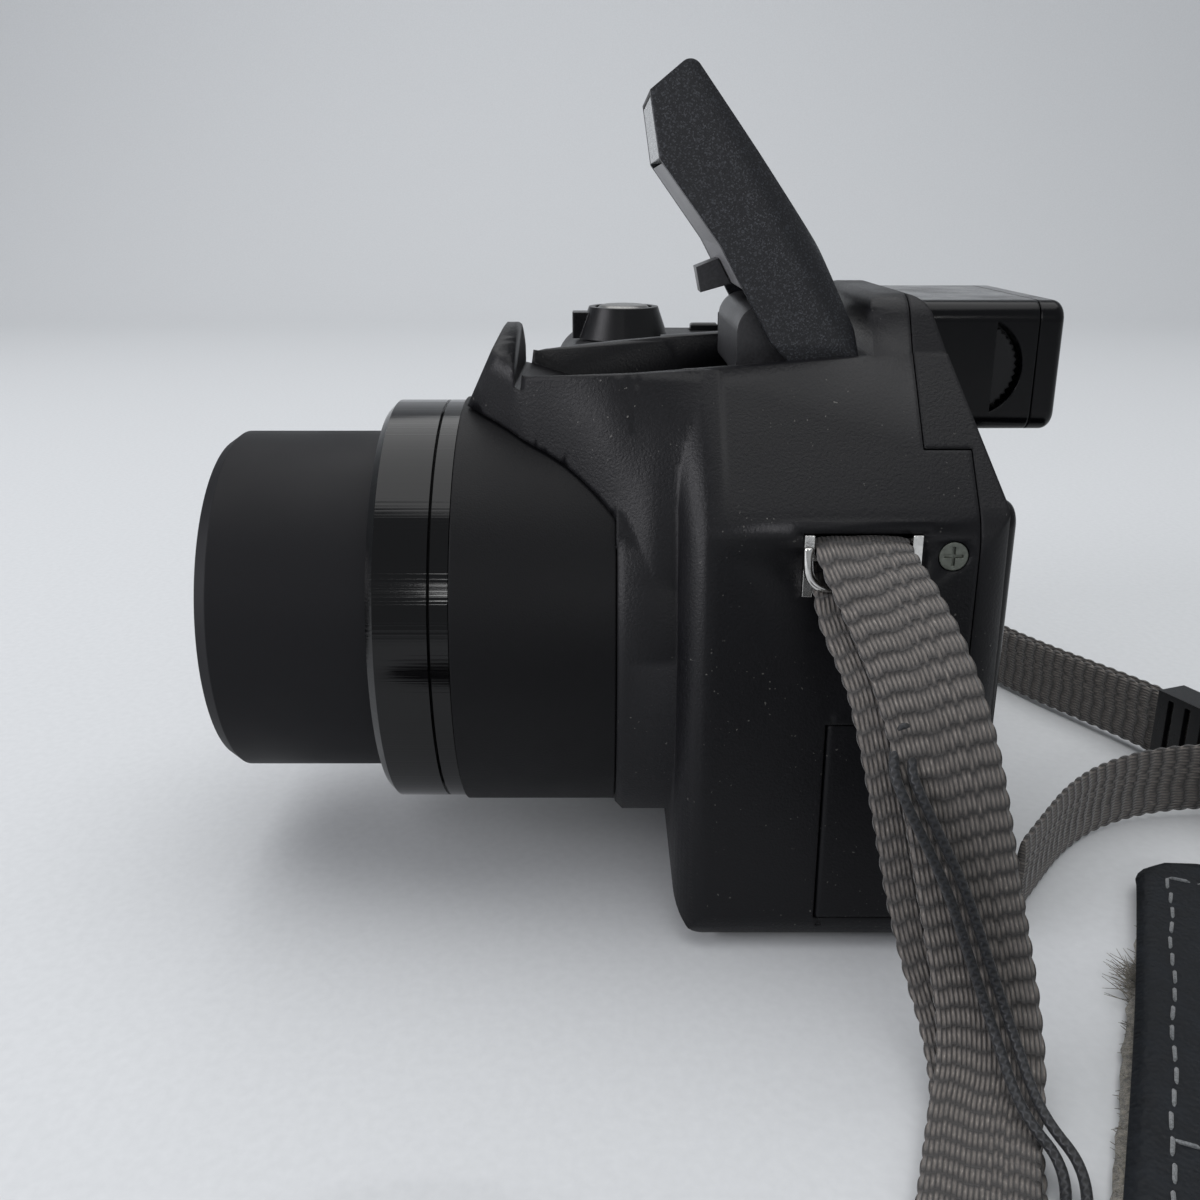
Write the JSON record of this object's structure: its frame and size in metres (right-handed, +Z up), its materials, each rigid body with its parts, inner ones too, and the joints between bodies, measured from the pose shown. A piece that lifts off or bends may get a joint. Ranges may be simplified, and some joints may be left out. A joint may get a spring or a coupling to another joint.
{
  "type": "bridge camera",
  "caption": "Bridge camera with its long zoom lens run out, pop-up flash raised, eyepiece, rear screen, neck strap with pad and a corded lens cap.",
  "frame": {"origin": "mouth of the tripod socket, on the base, straight below the lens axis", "axes": "+X to the viewer's left, -Y out of the lens, +Z up"},
  "size_m": [0.2491, 0.1459, 0.0963],
  "materials": {
    "case_plastic": "matt",
    "satin_plastic": "satin",
    "gloss_plastic": "gloss",
    "grip_rubber": "matt",
    "barrel_black": "matt",
    "metallic_black": "satin",
    "grey_plastic": "satin",
    "clear_plastic": "gloss",
    "optical_glass": "gloss",
    "chrome": "polished",
    "steel": "satin",
    "circuit_board": "satin",
    "sensor_black": "gloss",
    "webbing": "matt",
    "leather": "satin",
    "cord_black": "satin",
    "battery_grey": "satin"
  },
  "bodies": {
    "body": {"front_cover": "case_plastic", "rear_cover": "case_plastic", "top_plate": "case_plastic", "base_plate": "satin_plastic", "grip_rubber": "grip_rubber", "fixed_barrel": "barrel_black", "front_ring": "gloss_plastic", "rear_ring": "gloss_plastic", "lens_chassis": "satin_plastic", "iris_shutter": "steel", "image_sensor": "sensor_black", "flash_hinge_pin": "steel", "viewfinder_housing": "gloss_plastic", "eyepiece_frame": "gloss_plastic", "eyepiece_lens": "optical_glass", "viewfinder_display": "sensor_black", "lcd_module": "gloss_plastic", "lcd_window": "sensor_black", "tripod_socket": "steel", "battery": "battery_grey", "memory_card": "battery_grey", "battery_holder": "satin_plastic", "terminal_sockets": "steel", "strap_lug_left": "chrome", "strap_lug_right": "chrome", "main_board": "circuit_board", "flash_board": "circuit_board", "body_screws": "steel", "strap_left": "webbing", "strap_right": "webbing", "strap_pad": "leather", "strap_sliders": "satin_plastic", "cap_cord": "cord_black", "lens_cap": "case_plastic"},
    "zoom_tube_group": {"zoom_tube": "barrel_black", "lens_bezel": "satin_plastic", "front_lens": "optical_glass"},
    "zoom_lens_carrier": {"zoom_lens_group": "satin_plastic"},
    "focus_carrier": {"focus_lens": "satin_plastic"},
    "stabiliser_carrier": {"stabiliser_lens": "satin_plastic"},
    "flash": {"flash_head": "metallic_black", "flash_underside": "grey_plastic", "flash_window": "clear_plastic", "flash_reflector": "chrome", "flash_tube": "optical_glass", "flash_knuckle": "satin_plastic", "flash_latch_hook": "satin_plastic"},
    "shutter_release": {"shutter_button": "metallic_black"},
    "zoom_ring": {"zoom_lever": "metallic_black"},
    "dial": {"mode_dial": "satin_plastic"},
    "switch": {"power_switch": "satin_plastic"},
    "burst_key": {"burst_button": "satin_plastic"},
    "flash_key": {"flash_button": "satin_plastic"},
    "direction_pad": {"four_way_pad": "satin_plastic"},
    "menu_key": {"menu_button": "metallic_black"},
    "display_key": {"display_button": "satin_plastic"},
    "delete_key": {"delete_button": "satin_plastic"},
    "diopter": {"diopter_wheel": "satin_plastic"},
    "terminal_flap": {"terminal_door": "case_plastic"},
    "battery_flap": {"battery_door": "satin_plastic"}
  },
  "joints": [
    {"name": "zoom_retract", "type": "slide", "parent": "body", "child": "zoom_tube_group", "axis": [0, 1, 0], "range_m": [0, 0.02]},
    {"name": "zoom_lens_follow", "type": "slide", "parent": "body", "child": "zoom_lens_carrier", "axis": [0, 1, 0], "range_m": [0, 0.0145]},
    {"name": "focus_travel", "type": "slide", "parent": "body", "child": "focus_carrier", "axis": [0, 1, 0], "range_m": [-0.002, 0.002]},
    {"name": "stabiliser_shift", "type": "slide", "parent": "body", "child": "stabiliser_carrier", "axis": [1, 0, 0], "range_m": [-0.0003, 0.0003], "stiffness_N_per_m": 300},
    {"name": "flash_fold", "type": "hinge", "parent": "body", "child": "flash", "pos_m": [0, 0.0015, 0.0642], "axis": [1, 0, 0], "range_deg": [0, 56], "stiffness_Nm_per_rad": 0.02, "springref_deg": -17.19},
    {"name": "shutter_press", "type": "slide", "parent": "body", "child": "shutter_release", "axis": [0, 0, -1], "range_m": [0, 0.001], "stiffness_N_per_m": 800, "springref_m": -0.0005},
    {"name": "zoom_lever_turn", "type": "hinge", "parent": "body", "child": "zoom_ring", "pos_m": [-0.06, -0.021, 0.062], "axis": [0, 0, 1], "range_deg": [-20, 20], "stiffness_Nm_per_rad": 0.01},
    {"name": "mode_dial_turn", "type": "hinge", "parent": "body", "child": "dial", "pos_m": [-0.058, 0.0036, 0.062], "axis": [0, 0, 1], "continuous": true},
    {"name": "power_switch_slide", "type": "slide", "parent": "body", "child": "switch", "axis": [0, 1, 0], "range_m": [0, 0.003]},
    {"name": "burst_press", "type": "slide", "parent": "body", "child": "burst_key", "axis": [0, 0, -1], "range_m": [0, 0.0006], "stiffness_N_per_m": 500, "springref_m": -0.0004},
    {"name": "flash_button_press", "type": "slide", "parent": "body", "child": "flash_key", "axis": [0, 0, -1], "range_m": [0, 0.0006], "stiffness_N_per_m": 500, "springref_m": -0.0004},
    {"name": "four_way_rock", "type": "hinge", "parent": "body", "child": "direction_pad", "pos_m": [-0.0605, 0.017, 0.03], "axis": [1, 0, 0], "range_deg": [-3, 3], "stiffness_Nm_per_rad": 0.2},
    {"name": "menu_press", "type": "slide", "parent": "body", "child": "menu_key", "axis": [0, -1, 0], "range_m": [0, 0.0006], "stiffness_N_per_m": 500, "springref_m": -0.0004},
    {"name": "display_press", "type": "slide", "parent": "body", "child": "display_key", "axis": [0, -1, 0], "range_m": [0, 0.0006], "stiffness_N_per_m": 500, "springref_m": -0.0004},
    {"name": "delete_press", "type": "slide", "parent": "body", "child": "delete_key", "axis": [0, -1, 0], "range_m": [0, 0.0006], "stiffness_N_per_m": 500, "springref_m": -0.0004},
    {"name": "diopter_turn", "type": "hinge", "parent": "body", "child": "diopter", "pos_m": [0.0126, 0.0166, 0.0642], "axis": [1, 0, 0], "range_deg": [-150, 150]},
    {"name": "terminal_door_swing", "type": "hinge", "parent": "body", "child": "terminal_flap", "pos_m": [0.0304, 0, 0.0163], "axis": [0, 0, -1], "range_deg": [0, 95]},
    {"name": "battery_door_swing", "type": "hinge", "parent": "body", "child": "battery_flap", "pos_m": [-0.0581, -0.0082, 0.0011], "axis": [0, -1, 0], "range_deg": [0, 95]}
  ],
  "couplings": [
    {"joint": "zoom_lens_follow", "follows": "zoom_retract", "ratio": 0.72}
  ]
}
